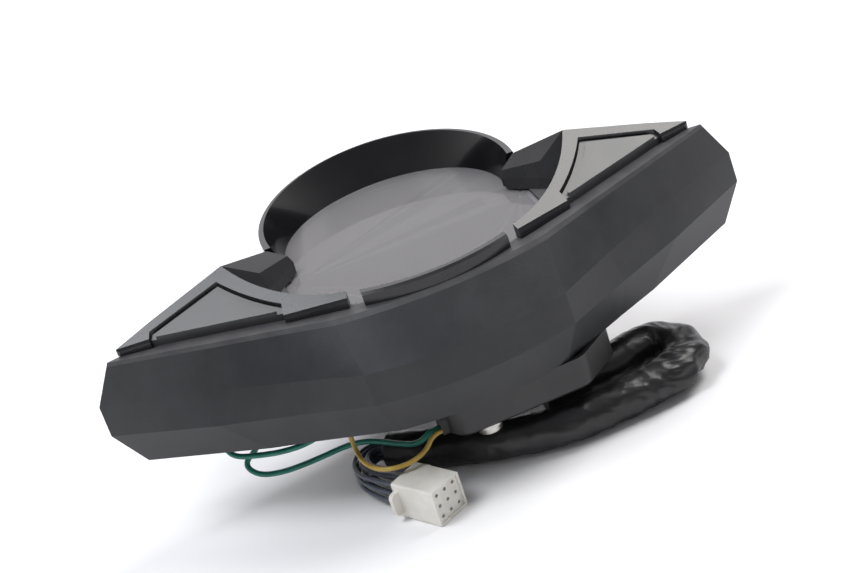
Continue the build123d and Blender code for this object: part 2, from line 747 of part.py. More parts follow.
with BuildPart() as harness_boot:
    with BuildSketch(Plane.YZ.offset(BOOT_LEFT)):
        with Locations((HARNESS_Y, BOOT_AXIS_Z)):
            Circle(BOOT_R)
        with Locations((HARNESS_Y, (BOOT_AXIS_Z + BOX_Z) / 2)):
            Rectangle(2 * BOOT_R, BOX_Z - BOOT_AXIS_Z)
    extrude(amount=BOOT_RIGHT - BOOT_LEFT)
    fillet(harness_boot.faces().sort_by(Axis.X)[0].edges(), radius=2)
    split(bisect_by=Plane.XY.offset(BOX_Z), keep=Keep.BOTTOM)
finish(harness_boot.part, "harness_boot")

SLEEVE_ROUTE = [
    (45, -41, 13), (56, -41, 13), (67, -36.5, 12.6), (78.5, -33.5, 12), (87, -40, 11),
    (87.5, -51, 10), (79.5, -58.5, 9), (66.5, -60.5, 8.4), (50, -62.5, 8), (31, -63, 8),
    (13, -58.5, 8), (-3, -51.5, 8), (-15, -44, 8), (-28, -36.5, 8), (-38, -28, 8),
]
cord("harness_sleeve", SLEEVE_ROUTE, SLEEVE_R)

# Leads run from the sleeve's end to the connector's back, spreading from one grid to the other
LEAD_ROUTE = [
    (-38, -28), (-41.4, -25.1), (-45.3, -24.5), (-49.1, -26.3), (-52.4, -31.3), (-52.5, -40.3),
    (-48.3, -48.6), (-43.2, -55.9), (-40, -61),
]
LEAD_Z = 8


def lead_route(column, row):
    """One lead's route: the middle route, moved sideways and up by a pitch that grows."""
    last = len(LEAD_ROUTE) - 1
    route = []
    for index, (x, y) in enumerate(LEAD_ROUTE):
        inner = min(max(index, 1), last - 1)
        before = LEAD_ROUTE[inner - 1 if inner < last - 1 else inner]
        after = LEAD_ROUTE[inner + 1 if inner > 1 else inner]
        heading = atan2(after[1] - before[1], after[0] - before[0])
        share = (inner - 1) / (last - 2)
        pitch = LEAD_PITCH + share**2 * (TERMINAL_PITCH - LEAD_PITCH)
        across = column * pitch
        route.append((x - across * sin(heading), y + across * cos(heading), LEAD_Z + row * pitch))
    return route


for row in (-1, 0, 1):
    for column in (-1, 0, 1):
        cord(f"lead_{3 * row + column + 5}", lead_route(column, row), LEAD_R)

CONNECTOR_HEADING = degrees(
    atan2(CONNECTOR_FACE[1] - CONNECTOR_BACK[1], CONNECTOR_FACE[0] - CONNECTOR_BACK[0])
)
connector_back = Plane(
    origin=(*CONNECTOR_BACK, CONNECTOR_SIDE / 2),
    x_dir=(0, 0, 1),
    z_dir=(cos(radians(CONNECTOR_HEADING)), sin(radians(CONNECTOR_HEADING)), 0),
)
CAVITY = 3.4
CAVITY_CORNER = 0.5
WEB = 8
CRIMP_R = 1.4
TERMINAL_R = 1.3
TERMINAL_BORE_R = 0.9
TERMINAL_LONG = 9
FACE_PLATE = 3
FACE_RECESS = 0.9
FACE_RIM = 1.1
PIN_HOLE_R = 0.8
EAR_WIDE = 10
EAR_REACH = 4
EAR_THICK = 2

with BuildPart() as connector_housing:
    with BuildSketch(connector_back):
        RectangleRounded(CONNECTOR_SIDE, CONNECTOR_SIDE, 1)
    extrude(amount=CONNECTOR_LONG)
    with BuildSketch(connector_back.offset(WEB)):
        with GridLocations(TERMINAL_PITCH, TERMINAL_PITCH, 3, 3):
            RectangleRounded(CAVITY, CAVITY, CAVITY_CORNER)
    extrude(amount=CONNECTOR_LONG - WEB - FACE_PLATE, mode=Mode.SUBTRACT)
    with BuildSketch(connector_back.offset(CONNECTOR_LONG)):
        RectangleRounded(CONNECTOR_SIDE - 2 * FACE_RIM, CONNECTOR_SIDE - 2 * FACE_RIM, CAVITY_CORNER)
    extrude(amount=-FACE_RECESS, mode=Mode.SUBTRACT)
    with BuildSketch(connector_back.offset(CONNECTOR_LONG)):
        with GridLocations(TERMINAL_PITCH, TERMINAL_PITCH, 3, 3):
            Circle(PIN_HOLE_R)
    extrude(amount=-FACE_PLATE, mode=Mode.SUBTRACT)
    with BuildSketch(connector_back):
        with GridLocations(TERMINAL_PITCH, TERMINAL_PITCH, 3, 3):
            Circle(CRIMP_R)
    extrude(amount=WEB, mode=Mode.SUBTRACT)
    with BuildSketch(connector_back.offset(1)):
        RectangleRounded(EAR_WIDE, CONNECTOR_SIDE + 2 * EAR_REACH, 2)
        with GridLocations(TERMINAL_PITCH, TERMINAL_PITCH, 3, 3):
            Circle(CRIMP_R, mode=Mode.SUBTRACT)
    extrude(amount=EAR_THICK)
finish(connector_housing.part, "connector_housing")

with BuildPart() as connector_terminals:
    with BuildSketch(connector_back):
        with GridLocations(TERMINAL_PITCH, TERMINAL_PITCH, 3, 3):
            Circle(CRIMP_R)
    extrude(amount=WEB)
    with BuildSketch(connector_back.offset(WEB)):
        with GridLocations(TERMINAL_PITCH, TERMINAL_PITCH, 3, 3):
            Circle(TERMINAL_R)
            Circle(TERMINAL_BORE_R, mode=Mode.SUBTRACT)
    extrude(amount=TERMINAL_LONG)
finish(connector_terminals.part, "connector_terminals")

WIRE_FACE_X = BOX_LEFT + 3 - GROMMET_THICK
GREEN_ROUTE = [
    (WIRE_FACE_X, -54.5, 24.6), (-24, -54.5, 24.6), (-29.5, -53.5, 20.5), (-36.5, -43.5, 18.6),
    (-42, -35, 18), (-48.2, -28.7, 17.4), (-55, -25, 16.4), (-63.4, -24, 15.5), (-73, -23.5, 15),
    (-82.7, -22.5, 15), (-91, -20, 16), (-95.2, -17, 19.2), (-94.7, -15, 22.2), (-90.5, -15, 24.6),
    (-88, -15, 27.2), (-88, -15, BACK_Z - HOLDER_LONG),
]
GREEN_RETURN_ROUTE = [
    (WIRE_FACE_X, -50, 29), (-27, -50, 29), (-36, -41.5, 30.4), (-46, -32.5, 31.2),
    (-57, -31, 31.2), (-68, -34.5, 29.6), (-79, -30.5, 28), (-90, -23.5, 27.2), (-99, -19, 28.4),
    (-101, -15, 33), (-95, -15, 33),
]
YELLOW_ROUTE = [
    (WIRE_FACE_X, -57.2, 24.4), (-23.5, -57.2, 24.4), (-28.5, -60.5, 20.6), (-36, -62.5, 19.4),
    (-43.7, -61.5, 19.6), (-49.3, -57.5, 20), (-52.6, -49.5, 20.6), (-53, -42.8, 22.4),
    (-53, -40, 26.6), (-53, -40, BACK_Z - HOLDER_LONG),
]
cord("green_wire", GREEN_ROUTE, GREEN_R)
cord("green_return_wire", GREEN_RETURN_ROUTE, GREEN_R)
cord("yellow_wire", YELLOW_ROUTE, YELLOW_R)
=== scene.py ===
"""Looks of the motorcycle instrument cluster, in metres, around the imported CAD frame."""

import json
import math

import bpy
from mathutils import Matrix, Vector, noise


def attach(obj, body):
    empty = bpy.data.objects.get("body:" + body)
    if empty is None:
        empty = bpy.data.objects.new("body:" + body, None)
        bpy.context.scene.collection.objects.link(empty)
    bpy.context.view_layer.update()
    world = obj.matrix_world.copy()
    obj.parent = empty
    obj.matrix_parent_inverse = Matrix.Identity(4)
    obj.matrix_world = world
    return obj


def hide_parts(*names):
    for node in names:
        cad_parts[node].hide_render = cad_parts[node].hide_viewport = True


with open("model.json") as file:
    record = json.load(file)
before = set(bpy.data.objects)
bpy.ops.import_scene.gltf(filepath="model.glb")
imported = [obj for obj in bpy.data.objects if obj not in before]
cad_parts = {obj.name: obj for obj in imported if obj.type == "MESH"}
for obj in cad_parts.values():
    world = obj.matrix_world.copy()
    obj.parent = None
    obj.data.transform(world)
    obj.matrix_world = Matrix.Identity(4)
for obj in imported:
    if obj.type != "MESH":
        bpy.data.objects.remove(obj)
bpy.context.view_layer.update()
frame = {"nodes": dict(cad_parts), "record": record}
NODES = frame["nodes"]
MM = 0.001


# ---------------------------------------------------------------- camera, floor and light

CAMERA_PLACE = (-0.0976, -0.6674, 0.3826)
CAMERA_HEADING = 8.54
CAMERA_DROP = 25.75
CAMERA_ROLL = 18.4
CAMERA_LENS = 75.35
WORLD_STEPS = [(0.12, 0.7), (0.3, 0.16), (0.62, 0.16), (0.72, 0.32)]
WORLD_STRENGTH = 1.0
# painted reflection: how much pale lens colour shows at grazing view, in place of the lens's real
# reflection
LENS_PAINTED_REFLECTION = 0.42
LENS_HAZE = 0.02
BACKDROP = (1.4, 1.38, 1.42)
LEFT_POWER = 24
LEFT_PLACE = (-0.9, 0.0, 1.78)
LEFT_TINT = (0.95, 0.97, 1.0)
RIGHT_POWER = 22
RIGHT_PLACE = (1.18, 0.3, 1.58)
RIGHT_TINT = (1.0, 0.985, 0.96)
LIGHT_SIZE = 0.9
LIGHT_TARGET = (0, 0, 0.08)
FLOOR_HALF = 4.0
FLOOR_COLOUR = (0.93, 0.925, 0.935, 1)
FLOOR_ROUGHNESS = 0.8


def node_of(tree, kind, **settings):
    """A shader node with some of its settings and sockets set by name."""
    node = tree.nodes.new(kind)
    for name, value in settings.items():
        if name in node.inputs:
            node.inputs[name].default_value = value
        else:
            setattr(node, name, value)
    return node


def add_camera():
    """The camera looks down at the cluster from its lower left, tilted about its own axis."""
    data = bpy.data.cameras.new("camera")
    data.lens = CAMERA_LENS
    data.sensor_width = 36
    data.clip_end = 20
    camera = bpy.data.objects.new("camera", data)
    turn = Matrix.Rotation(math.radians(-CAMERA_HEADING), 4, "Z")
    lean = Matrix.Rotation(math.radians(90 - CAMERA_DROP), 4, "X")
    roll = Matrix.Rotation(math.radians(-CAMERA_ROLL), 4, "Z")
    camera.matrix_world = Matrix.Translation(CAMERA_PLACE) @ turn @ lean @ roll
    bpy.context.scene.collection.objects.link(camera)
    bpy.context.scene.camera = camera


def area_light(name, place, target, size, power, colour):
    """A soft square light that faces a point."""
    data = bpy.data.lights.new(name, "AREA")
    data.shape = "SQUARE"
    data.size = size
    data.energy = power
    data.color = colour
    light = bpy.data.objects.new(name, data)
    facing = (Vector(target) - Vector(place)).to_track_quat("-Z", "Y")
    light.matrix_world = Matrix.Translation(place) @ facing.to_matrix().to_4x4()
    bpy.context.scene.collection.objects.link(light)


def add_studio_world():
    """Surroundings: a bright sweep behind, dim sides, and a middling ceiling."""
    world = bpy.data.worlds.new("studio")
    world.use_nodes = True
    tree = world.node_tree
    link = tree.links.new
    background = tree.nodes["Background"]
    place = node_of(tree, "ShaderNodeTexCoord")
    split = node_of(tree, "ShaderNodeSeparateXYZ")
    link(place.outputs["Generated"], split.inputs["Vector"])
    height = node_of(tree, "ShaderNodeValToRGB")
    ramp = height.color_ramp
    ramp.elements[0].position = 0.0
    ramp.elements[0].color = (0.75, 0.75, 0.76, 1)
    ramp.elements[1].position = 1.0
    ramp.elements[1].color = (0.3, 0.31, 0.34, 1)
    for position, grey in WORLD_STEPS:
        step = ramp.elements.new(position)
        step.color = (grey, grey, grey * 1.02, 1)
    link(split.outputs["Z"], height.inputs["Fac"])
    back = node_of(tree, "ShaderNodeMapRange", interpolation_type="SMOOTHSTEP")
    back.inputs["From Min"].default_value = 0.35
    back.inputs["From Max"].default_value = 0.75
    link(split.outputs["Y"], back.inputs["Value"])
    glow = node_of(tree, "ShaderNodeMix", data_type="RGBA")
    link(back.outputs["Result"], glow.inputs[0])
    link(height.outputs["Color"], glow.inputs[6])
    glow.inputs[7].default_value = (*BACKDROP, 1)
    link(glow.outputs[2], background.inputs["Color"])
    background.inputs["Strength"].default_value = WORLD_STRENGTH
    bpy.context.scene.world = world


def add_floor_and_light():
    """A pale floor, the surroundings and two soft boxes, cool on the left and warm on the right."""
    scene = bpy.context.scene
    scene.view_settings.view_transform = "Standard"
    add_studio_world()
    mesh = bpy.data.meshes.new("floor")
    half = FLOOR_HALF
    corners = [(-half, -half, 0), (half, -half, 0), (half, half, 0), (-half, half, 0)]
    mesh.from_pydata(corners, [], [(0, 1, 2, 3)])
    floor = bpy.data.objects.new("floor", mesh)
    scene.collection.objects.link(floor)
    material = bpy.data.materials.new("floor_paper")
    material.use_nodes = True
    shader = material.node_tree.nodes["Principled BSDF"]
    shader.inputs["Base Color"].default_value = FLOOR_COLOUR
    shader.inputs["Roughness"].default_value = FLOOR_ROUGHNESS
    mesh.materials.append(material)
    area_light("left_box", LEFT_PLACE, LIGHT_TARGET, LIGHT_SIZE, LEFT_POWER, LEFT_TINT)
    area_light("right_box", RIGHT_PLACE, LIGHT_TARGET, LIGHT_SIZE, RIGHT_POWER, RIGHT_TINT)


# ---------------------------------------------------------------- materials


def surface(
    name, base, accent, rough, spread=0.08, patch=60, grain=1500, depth=0.0, metallic=0.0,
    coat=0.0, scuff=None, scuff_share=0.0, ior=1.5, transmission=0.0, subsurface=0.0,
):
    """A procedural material: patchy colour, uneven roughness, fine grain and pale scuffs.

    patch and grain are how many cells fit in a metre, depth is the grain's height in metres.
    """
    material = bpy.data.materials.new(name)
    material.use_nodes = True
    tree = material.node_tree
    link = tree.links.new
    shader = tree.nodes["Principled BSDF"]
    shader.inputs["Metallic"].default_value = metallic
    shader.inputs["Coat Weight"].default_value = coat
    shader.inputs["IOR"].default_value = ior
    shader.inputs["Transmission Weight"].default_value = transmission
    shader.inputs["Subsurface Weight"].default_value = subsurface
    shader.inputs["Subsurface Radius"].default_value = (0.004, 0.0035, 0.003)
    place = node_of(tree, "ShaderNodeTexCoord")

    patches = node_of(tree, "ShaderNodeTexNoise", Scale=patch, Detail=4.0, Roughness=0.6)
    link(place.outputs["Object"], patches.inputs["Vector"])
    blend = node_of(tree, "ShaderNodeMapRange", **{"From Min": 0.38, "From Max": 0.66})
    link(patches.outputs["Fac"], blend.inputs["Value"])
    colour = node_of(tree, "ShaderNodeMix", data_type="RGBA")
    link(blend.outputs["Result"], colour.inputs["Factor"])
    colour.inputs[6].default_value = (*base, 1)
    colour.inputs[7].default_value = (*accent, 1)
    final = colour.outputs[2]

    roughness = node_of(
        tree, "ShaderNodeMapRange", **{"To Min": max(rough - spread, 0.0), "To Max": rough + spread}
    )
    link(patches.outputs["Fac"], roughness.inputs["Value"])
    if scuff is not None:
        marks = node_of(tree, "ShaderNodeTexNoise", Scale=patch * 7, Detail=8.0, Roughness=0.75)
        link(place.outputs["Object"], marks.inputs["Vector"])
        shown = node_of(
            tree, "ShaderNodeMapRange", **{"From Min": 0.74 - scuff_share, "From Max": 0.84}
        )
        link(marks.outputs["Fac"], shown.inputs["Value"])
        worn = node_of(tree, "ShaderNodeMix", data_type="RGBA")
        link(shown.outputs["Result"], worn.inputs[0])
        link(final, worn.inputs[6])
        worn.inputs[7].default_value = (*scuff, 1)
        final = worn.outputs[2]
    link(final, shader.inputs["Base Color"])
    link(roughness.outputs["Result"], shader.inputs["Roughness"])
    if depth:
        grains = node_of(tree, "ShaderNodeTexNoise", Scale=grain, Detail=3.0, Roughness=0.55)
        link(place.outputs["Object"], grains.inputs["Vector"])
        bump = node_of(tree, "ShaderNodeBump", Strength=1.0, Distance=depth)
        link(grains.outputs["Fac"], bump.inputs["Height"])
        link(bump.outputs["Normal"], shader.inputs["Normal"])
    return material


def lens_material():
    """Clear plastic with faint dust, and a painted reflection: a pale layer that grows the flatter it is
    seen stands in for the reflected surroundings.
    """
    material = bpy.data.materials.new("clear_lens")
    material.use_nodes = True
    tree = material.node_tree
    link = tree.links.new
    shader = tree.nodes["Principled BSDF"]
    shader.inputs["Coat Weight"].default_value = 0.15
    place = node_of(tree, "ShaderNodeTexCoord")
    dust = node_of(tree, "ShaderNodeTexNoise", Scale=240.0, Detail=6.0, Roughness=0.7)
    link(place.outputs["Object"], dust.inputs["Vector"])
    tone = node_of(tree, "ShaderNodeMix", data_type="RGBA")
    link(dust.outputs["Fac"], tone.inputs[0])
    tone.inputs[6].default_value = (0.62, 0.6, 0.63, 1)
    tone.inputs[7].default_value = (0.7, 0.68, 0.71, 1)
    link(tone.outputs[2], shader.inputs["Base Color"])
    rough = node_of(tree, "ShaderNodeMapRange", **{"To Min": 0.03, "To Max": 0.1})
    link(dust.outputs["Fac"], rough.inputs["Value"])
    link(rough.outputs["Result"], shader.inputs["Roughness"])
    # painted reflection: the pale base colour shows more the flatter the lens is seen; only the small
    # constant haze is dust
    flatness = node_of(tree, "ShaderNodeLayerWeight", Blend=0.5)
    painted_reflection = node_of(tree, "ShaderNodeMath", operation="MULTIPLY_ADD")
    link(flatness.outputs["Facing"], painted_reflection.inputs[0])
    painted_reflection.inputs[1].default_value = LENS_PAINTED_REFLECTION
    painted_reflection.inputs[2].default_value = LENS_HAZE
    link(painted_reflection.outputs["Value"], shader.inputs["Alpha"])
    return material


def add_materials():
    """One material for each kind of surface, by the record's slot names and a few more."""
    return {
        "case_black": surface(
            "case_black", (0.018, 0.019, 0.022), (0.028, 0.029, 0.033), 0.46, 0.06, 40, 1500, 0.00006,
            scuff=(0.16, 0.13, 0.11), scuff_share=0.06,
        ),
        "bezel_grey": surface(
            "bezel_grey", (0.05, 0.05, 0.055), (0.075, 0.075, 0.08), 0.5, 0.08, 70, 1800, 0.00003,
            scuff=(0.2, 0.19, 0.18), scuff_share=0.08,
        ),
        "gloss_black": surface(
            "gloss_black", (0.008, 0.008, 0.009), (0.014, 0.014, 0.016), 0.16, 0.05, 30, 900,
            0.000004, coat=0.3,
        ),
        "satin_black": surface(
            "satin_black", (0.016, 0.016, 0.019), (0.024, 0.024, 0.028), 0.27, 0.05, 45, 1400,
            0.000008, scuff=(0.1, 0.09, 0.085), scuff_share=0.03,
        ),
        "smoked_plastic": surface(
            "smoked_plastic", (0.035, 0.035, 0.037), (0.05, 0.05, 0.053), 0.32, 0.06, 60, 900,
            0.000006, scuff=(0.13, 0.12, 0.12), scuff_share=0.04,
        ),
        "rubber_black": surface(
            "rubber_black", (0.013, 0.013, 0.013), (0.024, 0.024, 0.023), 0.62, 0.08, 90, 1200, 0.00003
        ),
        "dial_black": surface(
            "dial_black", (0.035, 0.035, 0.037), (0.045, 0.045, 0.047), 0.7, 0.05, 50, 2500, 0.000008
        ),
        "red_plastic": surface(
            "red_plastic", (0.75, 0.05, 0.03), (0.85, 0.09, 0.05), 0.3, 0.06, 120, 1500, 0.00001
        ),
        "board_green": surface(
            "board_green", (0.012, 0.12, 0.04), (0.02, 0.17, 0.06), 0.35, 0.06, 200, 1800, 0.00002
        ),
        "led_white": surface(
            "led_white", (0.8, 0.79, 0.7), (0.88, 0.86, 0.75), 0.35, 0.05, 300, 2000, 0.00001
        ),
        "reflector_chrome": surface(
            "reflector_chrome", (0.75, 0.75, 0.76), (0.85, 0.85, 0.86), 0.12, 0.05, 80, 900,
            0.00001, metallic=1.0,
        ),
        "box_black": surface(
            "box_black", (0.02, 0.02, 0.021), (0.03, 0.03, 0.031), 0.38, 0.06, 40, 1600, 0.00001,
            scuff=(0.12, 0.11, 0.1), scuff_share=0.04,
        ),
        "zinc_steel": surface(
            "zinc_steel", (0.5, 0.49, 0.46), (0.66, 0.65, 0.61), 0.34, 0.1, 260, 2500, 0.00001,
            metallic=1.0, scuff=(0.22, 0.19, 0.15), scuff_share=0.08,
        ),
        "insert_brass": surface(
            "insert_brass", (0.6, 0.44, 0.18), (0.72, 0.55, 0.26), 0.3, 0.08, 260, 2500, 0.00001,
            metallic=1.0,
        ),
        "sleeve_vinyl": surface(
            "sleeve_vinyl", (0.011, 0.011, 0.012), (0.02, 0.02, 0.021), 0.36, 0.08, 70, 700, 0.00007
        ),
        "nylon_white": surface(
            "nylon_white", (0.72, 0.7, 0.64), (0.8, 0.78, 0.73), 0.42, 0.06, 120, 1300, 0.00001,
            subsurface=0.35,
        ),
        "tinned_brass": surface(
            "tinned_brass", (0.55, 0.5, 0.36), (0.7, 0.64, 0.48), 0.35, 0.08, 300, 2500, 0.00001,
            metallic=1.0,
        ),
        "green_insulation": surface(
            "green_insulation", (0.008, 0.15, 0.11), (0.014, 0.2, 0.15), 0.36, 0.06, 150, 1500, 0.00001
        ),
        "yellow_insulation": surface(
            "yellow_insulation", (0.42, 0.27, 0.045), (0.52, 0.36, 0.08), 0.38, 0.06, 150, 1500, 0.00001
        ),
        "grey_insulation": surface(
            "grey_insulation", (0.05, 0.06, 0.085), (0.08, 0.09, 0.12), 0.36, 0.06, 150, 1500, 0.00001
        ),
        "motor_grey": surface(
            "motor_grey", (0.4, 0.4, 0.38), (0.5, 0.5, 0.47), 0.5, 0.06, 120, 1500, 0.00001
        ),
        "needle_orange": surface(
            "needle_orange", (0.95, 0.14, 0.05), (0.98, 0.2, 0.09), 0.35, 0.05, 200, 1500, 0.000004
        ),
        "bulb_glass": surface(
            "bulb_glass", (0.95, 0.93, 0.88), (0.98, 0.97, 0.94), 0.04, 0.02, 90, 600, 0.000004,
            transmission=0.95, ior=1.45,
        ),
        "clear_guide": surface(
            "clear_guide", (0.9, 0.92, 0.94), (0.95, 0.96, 0.97), 0.08, 0.03, 90, 600, 0.000004,
            transmission=0.9, ior=1.49,
        ),
        "clear_lens": lens_material(),
        "white_print": surface(
            "white_print", (0.8, 0.8, 0.79), (0.88, 0.88, 0.87), 0.6, 0.05, 150, 1500, 0.000004
        ),
        "red_print": surface(
            "red_print", (0.7, 0.06, 0.05), (0.8, 0.1, 0.08), 0.6, 0.05, 150, 1500, 0.000004
        ),
        "grey_print": surface(
            "grey_print", (0.25, 0.25, 0.26), (0.32, 0.32, 0.33), 0.6, 0.05, 150, 1500, 0.000004
        ),
    }


def dress_cad_nodes():
    """Give every CAD node the material of its slot."""
    slots = {row["node"]: row["material_slot"] for row in frame["record"]["subparts"]}
    for name, node in NODES.items():
        node.data.materials.clear()
        node.data.materials.append(MATERIALS[slots[name]])


# ---------------------------------------------------------------- cords

SLEEVE_D = 0.016
LEAD_D = 0.0019
GREEN_D = 0.0024
YELLOW_D = 0.002
LEAD_PITCH = 2.3
TERMINAL_PITCH = 4.8
WIRE_FACE_X = -19.5
HOLDER_Z = 31

SLEEVE_ROUTE = [
    (45, -41, 13), (56, -41, 13), (67, -36.5, 12.6), (78.5, -33.5, 12), (87, -40, 11),
    (87.5, -51, 10), (79.5, -58.5, 9), (66.5, -60.5, 8.4), (50, -62.5, 8), (31, -63, 8),
    (13, -58.5, 8), (-3, -51.5, 8), (-15, -44, 8), (-28, -36.5, 8), (-38, -28, 8),
]
LEAD_ROUTE = [
    (-38, -28), (-41.4, -25.1), (-45.3, -24.5), (-49.1, -26.3), (-52.4, -31.3), (-52.5, -40.3),
    (-48.3, -48.6), (-43.2, -55.9), (-40, -61),
]
LEAD_Z = 8
GREEN_ROUTE = [
    (WIRE_FACE_X, -54.5, 24.6), (-24, -54.5, 24.6), (-29.5, -53.5, 20.5), (-36.5, -43.5, 18.6),
    (-42, -35, 18), (-48.2, -28.7, 17.4), (-55, -25, 16.4), (-63.4, -24, 15.5), (-73, -23.5, 15),
    (-82.7, -22.5, 15), (-91, -20, 16), (-95.2, -17, 19.2), (-94.7, -15, 22.2), (-90.5, -15, 24.6),
    (-88, -15, 27.2), (-88, -15, HOLDER_Z),
]
GREEN_RETURN_ROUTE = [
    (WIRE_FACE_X, -50, 29), (-27, -50, 29), (-36, -41.5, 30.4), (-46, -32.5, 31.2),
    (-57, -31, 31.2), (-68, -34.5, 29.6), (-79, -30.5, 28), (-90, -23.5, 27.2), (-99, -19, 28.4),
    (-101, -15, 33), (-95, -15, 33),
]
YELLOW_ROUTE = [
    (WIRE_FACE_X, -57.2, 24.4), (-23.5, -57.2, 24.4), (-28.5, -60.5, 20.6), (-36, -62.5, 19.4),
    (-43.7, -61.5, 19.6), (-49.3, -57.5, 20), (-52.6, -49.5, 20.6), (-53, -42.8, 22.4),
    (-53, -40, 26.6), (-53, -40, HOLDER_Z),
]


def lead_route(column, row):
    """One lead's route: the middle route, moved sideways and up by a pitch that grows."""
    last = len(LEAD_ROUTE) - 1
    route = []
    for index, (x, y) in enumerate(LEAD_ROUTE):
        inner = min(max(index, 1), last - 1)
        before = LEAD_ROUTE[inner - 1 if inner < last - 1 else inner]
        after = LEAD_ROUTE[inner + 1 if inner > 1 else inner]
        heading = math.atan2(after[1] - before[1], after[0] - before[0])
        share = (inner - 1) / (last - 2)
        pitch = LEAD_PITCH + share**2 * (TERMINAL_PITCH - LEAD_PITCH)
        across = column * pitch
        route.append(
            (x - across * math.sin(heading), y + across * math.cos(heading), LEAD_Z + row * pitch)
        )
    return route


def route_curve(name, route, diameter=0.0):
    """A smooth NURBS curve whose control points are the route's points, given in millimetres."""
    data = bpy.data.curves.new(name, "CURVE")
    data.dimensions = "3D"
    data.resolution_u = 16
    spline = data.splines.new("NURBS")
    spline.points.add(len(route) - 1)
    for point, place in zip(spline.points, route):
        point.co = (*(value * MM for value in place), 1)
    spline.order_u = 3
    spline.use_endpoint_u = True
    if diameter:
        data.bevel_depth = diameter / 2
        data.bevel_resolution = 5
        data.use_fill_caps = True
    return bpy.data.objects.new(name, data)


def smooth_line(name, route):
    """The points down the middle of the route's smooth curve."""
    curve = route_curve(name, route)
    mesh = bpy.data.meshes.new_from_object(curve)
    line = [vertex.co.copy() for vertex in mesh.vertices]
    bpy.data.meshes.remove(mesh)
    bpy.data.curves.remove(curve.data)
    return line


def line_length(line):
    return sum((b - a).length for a, b in zip(line, line[1:]))


def wire(name, node, route, diameter, slot):
    """A thin wire in place of its CAD tube."""
    piece = route_curve(name, route, diameter)
    piece.data.materials.append(MATERIALS[slot])
    bpy.context.scene.collection.objects.link(piece)
    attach(piece, "root")
    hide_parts(node)
    length = line_length(smooth_line(name + "_line", route))


def add_wires():
    """The nine leads into the connector and the three loose bulb wires."""
    for row in (-1, 0, 1):
        for column in (-1, 0, 1):
            node = f"lead_{3 * row + column + 5}"
            wire(
                node + "_wire", node, lead_route(column, row), LEAD_D, "grey_insulation",
            )
    wire("green_bulb_wire", "green_wire", GREEN_ROUTE, GREEN_D, "green_insulation")
    wire(
        "green_return", "green_return_wire", GREEN_RETURN_ROUTE, GREEN_D, "green_insulation"
    )
    wire("yellow_bulb_wire", "yellow_wire", YELLOW_ROUTE, YELLOW_D, "yellow_insulation")


# ---------------------------------------------------------------- dial print

DIAL_TOP = 71 * MM
PRINT_THICK = 0.06 * MM
SPEED_CENTRE = (1, 25.5)
SPEED_START = 208
SPEED_END = 13
SPEED_R = 41.2
SPEED_INNER_R = 36
TACH_CENTRE = (27, -26)
TACH_START = 205
TACH_END = -25
TACH_R = 30.5
FUEL_CENTRE = (-31, -20)
SEGMENTS = {
    "0": "abcdef", "1": "bc", "2": "abged", "3": "abgcd", "4": "fgbc", "5": "afgcd", "6": "afgcde",
    "7": "abc", "8": "abcdefg", "9": "abcdfg", "F": "afge", "E": "afged", "k": "fge", "m": "ec",
    "/": "g", "h": "fgec",
}
SEGMENT_PLACES = {
    "a": ((0, 1), (1, 1)), "b": ((1, 1), (1, 0.5)), "c": ((1, 0.5), (1, 0)), "d": ((0, 0), (1, 0)),
    "e": ((0, 0), (0, 0.5)), "f": ((0, 0.5), (0, 1)), "g": ((0, 0.5), (1, 0.5)),
}


class Print:
    """Collects thin raised strips of ink that become one piece lying on the dial."""

    def __init__(self, name, slot, material, base=DIAL_TOP):
        self.name, self.slot, self.material, self.base = name, slot, material, base
        self.vertices, self.faces = [], []

    def quad(self, corners):
        start = len(self.vertices)
        for z in (self.base, self.base + PRINT_THICK):
            self.vertices += [(x * MM, y * MM, z) for x, y in corners]
        a, b, c, d, e, f, g, h = range(start, start + 8)
        self.faces += [(d, c, b, a), (e, f, g, h), (a, b, f, e)]
        self.faces += [(b, c, g, f), (c, d, h, g), (d, a, e, h)]

    def line(self, start, end, width):
        dx, dy = end[0] - start[0], end[1] - start[1]
        size = math.hypot(dx, dy)
        ox, oy = -dy / size * width / 2, dx / size * width / 2
        self.quad([
            (start[0] - ox, start[1] - oy), (end[0] - ox, end[1] - oy),
            (end[0] + ox, end[1] + oy), (start[0] + ox, start[1] + oy),
        ])

    def arc(self, centre, radius, start, end, width, step=3.0):
        count = max(1, round(abs(end - start) / step))
        angles = [math.radians(start + (end - start) * i / count) for i in range(count + 1)]
        for a, b in zip(angles, angles[1:]):
            low, high = sorted((a, b))
            self.quad([
                (centre[0] + r * math.cos(t), centre[1] + r * math.sin(t))
                for r, t in (
                    (radius - width / 2, low), (radius + width / 2, low),
                    (radius + width / 2, high), (radius - width / 2, high),
                )
            ])

    def tick(self, centre, inner, outer, angle, width):
        c, s = math.cos(math.radians(angle)), math.sin(math.radians(angle))
        self.line(
            (centre[0] + inner * c, centre[1] + inner * s), (centre[0] + outer * c, centre[1] + outer * s),
            width,
        )

    def text(self, word, centre, tall, width=0.55):
        """Seven-segment figures, centred on a point."""
        wide = tall * 0.52
        pitch = wide + tall * 0.3
        left = centre[0] - (pitch * (len(word) - 1) + wide) / 2
        for index, letter in enumerate(word):
            x0, y0 = left + index * pitch, centre[1] - tall / 2
            for segment in SEGMENTS[letter]:
                (ax, ay), (bx, by) = SEGMENT_PLACES[segment]
                self.line(
                    (x0 + ax * wide, y0 + ay * tall), (x0 + bx * wide, y0 + by * tall), width
                )

    def build(self):
        mesh = bpy.data.meshes.new(self.name)
        mesh.from_pydata(self.vertices, [], self.faces)
        mesh.materials.append(MATERIALS[self.material])
        piece = bpy.data.objects.new(self.name, mesh)
        bpy.context.scene.collection.objects.link(piece)
        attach(piece, "root")


def around(centre, radius, angle):
    return (
        centre[0] + radius * math.cos(math.radians(angle)),
        centre[1] + radius * math.sin(math.radians(angle)),
    )


